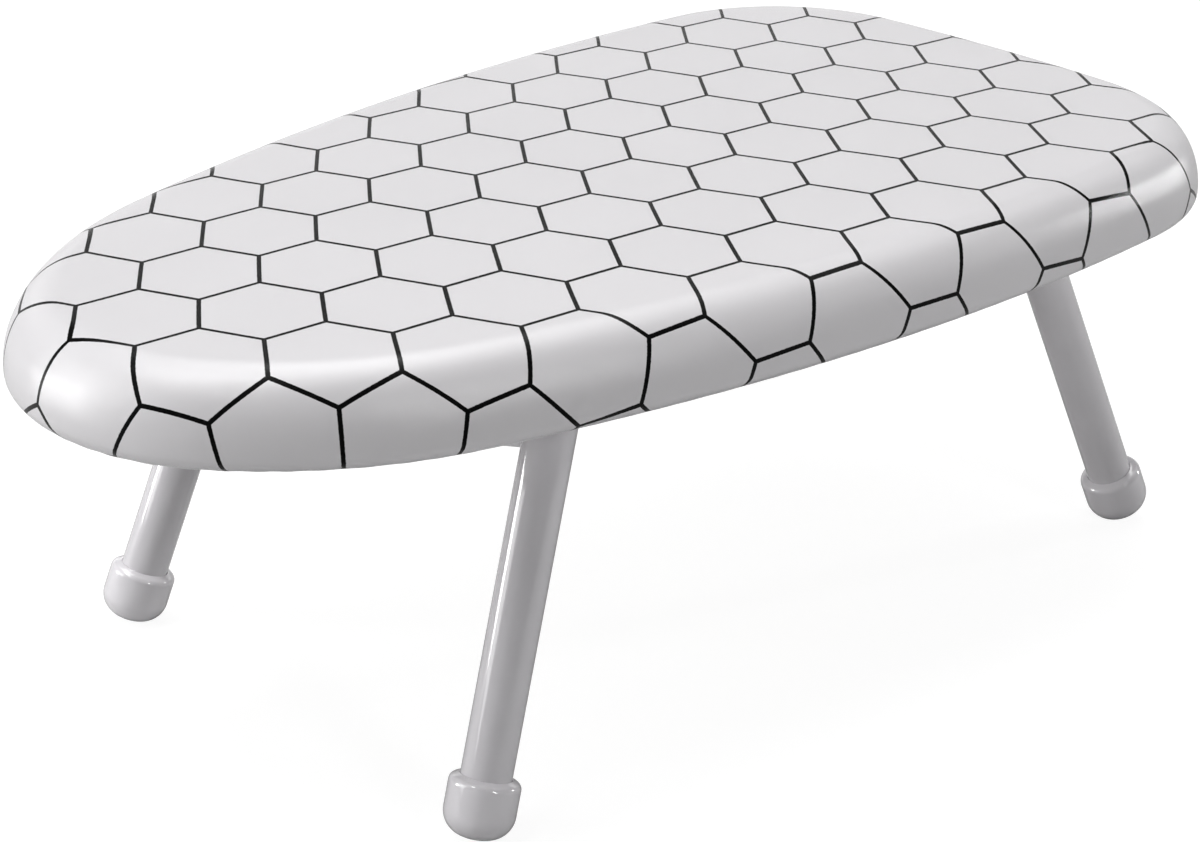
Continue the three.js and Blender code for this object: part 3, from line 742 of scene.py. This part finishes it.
class Shader:
    """One material's node tree, built in short calls."""

    def __init__(self, name):
        self.material = bpy.data.materials.new(name)
        self.material.use_nodes = True
        self.tree = self.material.node_tree
        self.tree.nodes.clear()
        self.output = self.tree.nodes.new("ShaderNodeOutputMaterial")

    def node(self, kind, values=(), **settings):
        made = self.tree.nodes.new(kind)
        for key, value in settings.items():
            setattr(made, key, value)
        for key, value in dict(values).items():
            self.feed(made.inputs[key], value)
        return made

    def feed(self, socket, value):
        if isinstance(value, bpy.types.NodeSocket):
            self.tree.links.new(value, socket)
        else:
            socket.default_value = value

    def math(self, operation, *values):
        return self.node("ShaderNodeMath", enumerate(values), operation=operation).outputs[0]

    def scaled(self, vector, factor):
        made = self.node("ShaderNodeVectorMath", {0: vector, "Scale": factor}, operation="SCALE")
        return made.outputs["Vector"]

    def vector(self, operation, *values):
        made = self.node("ShaderNodeVectorMath", enumerate(values), operation=operation)
        return made.outputs["Value" if operation in ("DOT_PRODUCT", "LENGTH") else "Vector"]

    def ramp(self, value, low, high, start=0.0, end=1.0):
        values = {"Value": value, "From Min": low, "From Max": high, "To Min": start, "To Max": end}
        return self.node("ShaderNodeMapRange", values, interpolation_type="SMOOTHSTEP").outputs[0]

    def noise(self, place, scale, detail=2.0, roughness=0.5):
        values = {"Vector": place, "Scale": scale, "Detail": detail, "Roughness": roughness}
        return self.node("ShaderNodeTexNoise", values).outputs["Fac"]

    def mix(self, factor, first, second):
        made = self.node("ShaderNodeMix", data_type="RGBA")
        self.feed(made.inputs[0], factor)
        self.feed(made.inputs[6], first)
        self.feed(made.inputs[7], second)
        return made.outputs[2]

    def bump(self, height, distance):
        values = {"Height": height, "Distance": distance, "Strength": 1.0}
        return self.node("ShaderNodeBump", values).outputs["Normal"]

    def place(self):
        return self.node("ShaderNodeTexCoord").outputs["Object"]

    def surface(self, **values):
        named = {key.replace("_", " "): value for key, value in values.items()}
        made = self.node("ShaderNodeBsdfPrincipled", named)
        self.feed(self.output.inputs["Surface"], made.outputs[0])
        return self.material


def grey(level, green=1.0, blue=1.0):
    """A grey of a level, tinted by shares of its green and blue."""
    return (level, level * green, level * blue, 1.0)


def line_distance(shader, cells):
    """Distance to the nearest cell edge of a honeycomb of regular hexagons one unit wide."""
    tile = (1.0, math.sqrt(3), 1.0)
    half = (0.5, math.sqrt(3) / 2, 0.5)
    origin = (0.0, 0.0, 0.0)
    flat = (1.0, 1.0, 0.0)
    centred = shader.vector("ADD", cells, (0.5, 0.0, 0.0))
    first = shader.vector("SUBTRACT", shader.vector("WRAP", centred, tile, origin), half)
    shifted = shader.vector("SUBTRACT", centred, half)
    second = shader.vector("SUBTRACT", shader.vector("WRAP", shifted, tile, origin), half)
    first = shader.vector("MULTIPLY", first, flat)
    second = shader.vector("MULTIPLY", second, flat)
    nearer = shader.math("LESS_THAN", shader.vector("LENGTH", first), shader.vector("LENGTH", second))
    chosen = shader.node("ShaderNodeMix", {0: nearer, 4: second, 5: first}, data_type="VECTOR").outputs[1]
    corner = shader.vector("ABSOLUTE", chosen)
    across = shader.vector("DOT_PRODUCT", corner, (1.0, 0.0, 0.0))
    slanted = shader.vector("DOT_PRODUCT", corner, (0.5, math.sqrt(3) / 2, 0.0))
    return shader.math("SUBTRACT", 0.5, shader.math("MAXIMUM", across, slanted))


def weave_height(shader, place):
    """Threads that pass over and under each other, from -1 to 1."""
    waves = shader.vector("SINE", shader.scaled(place, 2 * math.pi / THREAD_PITCH))
    split = shader.node("ShaderNodeSeparateXYZ", {"Vector": waves})
    return shader.math("MULTIPLY", split.outputs["X"], split.outputs["Y"])


def print_ink(shader, cells, slub):
    """1 on the printed lines and 0 between them; the lines' edges bleed a little along uneven threads."""
    uneven = shader.math("SUBTRACT", slub, 0.5)
    bleed = shader.math("MULTIPLY", uneven, LINE_BLEED)
    reach = shader.math("ADD", line_distance(shader, cells), bleed)
    half_line = LINE_WIDTH / CELL_WIDTH / 2
    inside = half_line * (1 - LINE_SOFTNESS)
    outside = half_line * (1 + LINE_SOFTNESS)
    return shader.ramp(reach, low=inside, high=outside, start=1.0, end=0.0)


def printed_cloth():
    """Pale glazed cotton with thin black ink lines, which are smoother than the cloth but hardly shine."""
    shader = Shader("printed_cloth")
    cells = shader.node("ShaderNodeUVMap", uv_map="print").outputs["UV"]
    place = shader.scaled(cells, CELL_WIDTH)
    weave = weave_height(shader, place)
    slub = shader.noise(place, scale=900.0)
    mottle = shader.noise(place, scale=14.0, detail=3.0)
    ink = print_ink(shader, cells, slub)

    threads = shader.ramp(weave, low=-1.0, high=1.0, end=0.05)
    pale = shader.mix(threads, shader.mix(mottle, *CLOTH_COLOURS), grey(THREAD_LEVEL))
    worn = shader.ramp(slub, low=0.3, high=0.8, end=0.03)
    black = shader.mix(worn, grey(INK_LEVEL), grey(WORN_INK_LEVEL))
    rough = shader.ramp(mottle, low=0.2, high=0.8, start=0.225, end=0.265)
    smoother = shader.math("MULTIPLY", ink, INK_SMOOTHING)
    uneven = shader.math("MULTIPLY", slub, SLUB_HEIGHT)
    return shader.surface(
        Base_Color=shader.mix(ink, pale, black),
        Roughness=shader.math("SUBTRACT", rough, smoother),
        Specular_IOR_Level=0.75,
        Specular_Tint=shader.mix(ink, grey(1.0), grey(0.0)),
        Normal=shader.bump(shader.math("ADD", weave, uneven), distance=0.000012),
    )


def gloss_paint(name, level, rough, coat, peel):
    """Smooth sprayed or moulded gloss: faint orange peel, a little mottling and fine scuffs."""
    shader = Shader(name)
    place = shader.place()
    cloud = shader.noise(place, scale=60.0, detail=3.0)
    darker = grey(level * 0.96, *PAINT_TINT)
    lighter = grey(level * 1.04, *PAINT_TINT)
    skin = shader.noise(place, scale=700.0, detail=1.0)
    scuffs = shader.noise(place, scale=2400.0)
    return shader.surface(
        Base_Color=shader.mix(cloud, darker, lighter),
        Roughness=shader.ramp(scuffs, low=0.35, high=0.75, start=rough, end=rough * 1.3),
        Coat_Weight=coat,
        Coat_Roughness=0.03,
        Normal=shader.bump(skin, distance=peel),
    )


def metal(name, level, rough):
    """Bare steel with a fine grain."""
    shader = Shader(name)
    grain = shader.noise(shader.place(), scale=1500.0, detail=3.0)
    darker = grey(level * 0.9)
    lighter = grey(level * 1.05)
    return shader.surface(
        Base_Color=shader.mix(grain, darker, lighter),
        Metallic=1.0,
        Roughness=shader.ramp(grain, low=0.2, high=0.8, start=rough * 0.85, end=rough * 1.25),
        Normal=shader.bump(grain, distance=0.000003),
    )


def fibreboard_face():
    """Pale board with fine fibres along its length and a few darker flecks."""
    shader = Shader("fibreboard_face")
    place = shader.place()
    drawn_out = shader.vector("MULTIPLY", place, (1.0, 3.0, 1.0))
    fibre = shader.noise(drawn_out, scale=260.0, detail=5.0, roughness=0.65)
    cloud = shader.noise(place, scale=9.0, detail=4.0)
    flecks = shader.ramp(fibre, low=0.5, high=0.75, end=0.25)
    return shader.surface(
        Base_Color=shader.mix(flecks, shader.mix(cloud, *FIBRE_COLOURS), FIBRE_DARK),
        Roughness=shader.ramp(fibre, low=0.3, high=0.7, start=0.5, end=0.65),
        Normal=shader.bump(fibre, distance=0.00006),
    )


def foam_cells():
    """Cream open-cell foam with small pores, painted darker in their hollows as shade."""
    shader = Shader("foam_cells")
    cells = shader.node("ShaderNodeTexVoronoi", {"Vector": shader.place(), "Scale": 700.0})
    pore_depth_and_shade = cells.outputs["Distance"]
    return shader.surface(
        # The pores' hollows get the darker colour: painted shade, not a colour of the foam
        Base_Color=shader.mix(pore_depth_and_shade, *FOAM_AND_PORE_SHADE_COLOURS),
        Roughness=0.95,
        Normal=shader.bump(pore_depth_and_shade, distance=0.0004),
    )


def elastic_weave():
    """White woven elastic and thread."""
    shader = Shader("elastic_weave")
    yarn = shader.noise(shader.place(), scale=1800.0)
    return shader.surface(
        Base_Color=shader.mix(yarn, grey(0.78), grey(0.88)),
        Roughness=0.8,
        Normal=shader.bump(yarn, distance=0.0001),
    )


def make_materials():
    """One material for each material slot of the part."""
    return {
        "printed_cloth": printed_cloth(),
        "foam": foam_cells(),
        "fibreboard": fibreboard_face(),
        "elastic": elastic_weave(),
        "leg_paint": gloss_paint("leg_paint", level=0.83, rough=0.15, coat=1.0, peel=0.000004),
        "foot_vinyl": gloss_paint("foot_vinyl", level=0.92, rough=0.12, coat=1.0, peel=0.000004),
        "nylon": gloss_paint("nylon", level=0.75, rough=0.38, coat=0.0, peel=0.00002),
        "zinc_steel": metal("zinc_steel", level=0.6, rough=0.3),
        "spring_steel": metal("spring_steel", level=0.35, rough=0.25),
    }


def dress_nodes(materials):
    """Rigid CAD nodes that stay: eased edges and their slot's material."""
    slots = {row["node"]: row["material_slot"] for row in frame["record"]["subparts"]}
    for name, node in frame["nodes"].items():
        if node.hide_render:
            continue
        node.data.materials.clear()
        node.data.materials.append(materials[slots[name]])
        weld = node.modifiers.new("weld", "WELD")
        weld.merge_threshold = EDGE_WELD_REACH
        flatten = node.modifiers.new("flatten", "DECIMATE")
        flatten.decimate_type = "DISSOLVE"
        flatten.angle_limit = EDGE_FLAT_ANGLE
        bevel = node.modifiers.new("bevel", "BEVEL")
        bevel.width = EDGE_EASE
        bevel.segments = EDGE_EASE_STEPS
        bevel.limit_method = "ANGLE"
        bevel.angle_limit = EDGE_EASE_ANGLE
        bevel.harden_normals = True
        node.data.shade_smooth()


# Camera, light and floor


def make_camera():
    """The camera at the photo's viewing angle."""
    data = bpy.data.cameras.new("camera")
    data.sensor_fit = "HORIZONTAL"
    data.sensor_width = SENSOR_WIDTH
    data.lens = SENSOR_WIDTH * FOCAL_PIXELS / IMAGE_WIDTH
    data.clip_start = CLIP_START
    data.clip_end = CLIP_END
    camera = bpy.data.objects.new("camera", data)
    bpy.context.scene.collection.objects.link(camera)
    level = math.cos(CAMERA_ELEVATION)
    east = math.sin(CAMERA_AZIMUTH) * level
    north = -math.cos(CAMERA_AZIMUTH) * level
    back = Vector((east, north, math.sin(CAMERA_ELEVATION)))
    turned = (-back).to_track_quat("-Z", "Y").to_matrix().to_4x4()
    roll = Matrix.Rotation(CAMERA_ROLL, 4, "Z")
    camera.matrix_world = Matrix.Translation(CAMERA_TARGET + back * CAMERA_DISTANCE) @ turned @ roll
    bpy.context.scene.camera = camera


def make_softbox(name, azimuth, elevation, distance, width, height, brightness):
    """A rectangular light that faces the board; its angles are in degrees, azimuth 0 towards +X."""
    data = bpy.data.lights.new(name, "AREA")
    data.shape = "RECTANGLE"
    data.size = width
    data.size_y = height
    data.energy = brightness * math.pi * width * height
    light = bpy.data.objects.new(name, data)
    bpy.context.scene.collection.objects.link(light)
    turn, rise = math.radians(azimuth), math.radians(elevation)
    away = Vector((math.cos(turn) * math.cos(rise), math.sin(turn) * math.cos(rise), math.sin(rise)))
    aim = (-away).to_track_quat("-Z", "Y").to_matrix().to_4x4()
    light.matrix_world = Matrix.Translation(LIGHT_TARGET + away * distance) @ aim
    light.visible_camera = False


def make_world():
    """A white backdrop for the eye, and almost no light of its own."""
    world = bpy.data.worlds.new("studio")
    bpy.context.scene.world = world
    world.use_nodes = True
    tree = world.node_tree
    tree.nodes.clear()
    out = tree.nodes.new("ShaderNodeOutputWorld")
    mix = tree.nodes.new("ShaderNodeMixShader")
    path = tree.nodes.new("ShaderNodeLightPath")
    room = tree.nodes.new("ShaderNodeBackground")
    room.inputs["Color"].default_value = grey(ROOM_BRIGHTNESS)
    backdrop = tree.nodes.new("ShaderNodeBackground")
    backdrop.inputs["Color"].default_value = grey(1.0)
    tree.links.new(path.outputs["Is Camera Ray"], mix.inputs[0])
    tree.links.new(room.outputs[0], mix.inputs[1])
    tree.links.new(backdrop.outputs[0], mix.inputs[2])
    tree.links.new(mix.outputs[0], out.inputs["Surface"])


def floor_paper():
    """White paper floor: bright to the eye, with a weaker bounce onto the object, and clear from below."""
    shader = Shader("floor_paper")
    path = shader.node("ShaderNodeLightPath")
    side = shader.node("ShaderNodeNewGeometry").outputs["Backfacing"]
    seen = shader.node("ShaderNodeAddShader")
    glow = shader.node("ShaderNodeEmission", {"Color": grey(1.0), "Strength": FLOOR_GLOW})
    paper = shader.node("ShaderNodeBsdfDiffuse", {"Color": grey(FLOOR_SHADE)})
    shader.feed(seen.inputs[0], glow.outputs[0])
    shader.feed(seen.inputs[1], paper.outputs[0])
    bounce = shader.node("ShaderNodeBsdfDiffuse", {"Color": grey(FLOOR_BOUNCE)})
    front = shader.node("ShaderNodeMixShader", {0: path.outputs["Is Camera Ray"]})
    shader.feed(front.inputs[1], bounce.outputs[0])
    shader.feed(front.inputs[2], seen.outputs[0])
    clear = shader.node("ShaderNodeBsdfTransparent")
    both = shader.node("ShaderNodeMixShader", {0: side})
    shader.feed(both.inputs[1], front.outputs[0])
    shader.feed(both.inputs[2], clear.outputs[0])
    shader.feed(shader.output.inputs["Surface"], both.outputs[0])
    return shader.material


def make_floor():
    """A plain floor for the board to stand on."""
    half = FLOOR_SIZE / 2
    corners = [(-half, -half, 0), (half, -half, 0), (half, half, 0), (-half, half, 0)]
    floor = mesh_object("floor", corners, [(0, 1, 2, 3)], floor_paper())


def make_lights():
    """All softboxes of the studio."""
    for name, *place in SOFTBOXES:
        make_softbox(name, *place)


def main():
    """Dresses the part and sets up the studio."""
    materials = make_materials()
    seam = make_cover(materials["printed_cloth"])
    make_stitches(seam, materials["elastic"])
    make_foam(materials["foam"])
    make_elastic(materials["elastic"])
    for end in ENDS:
        for side in SIDES:
            make_tube(end, side, materials["leg_paint"])
            make_plug(end, side, materials["nylon"])
            make_foot(end, side, materials["foot_vinyl"])
            make_axle_weld(end, side, materials["leg_paint"])
            make_leg_weld(end, side, materials["leg_paint"])
    for node in [name for name in frame["nodes"] if "_screw_" in name]:
        make_screw(node, materials["zinc_steel"])
    dress_nodes(materials)
    make_camera()
    make_world()
    make_lights()
    make_floor()
    bpy.context.scene.view_settings.view_transform = "Standard"


main()
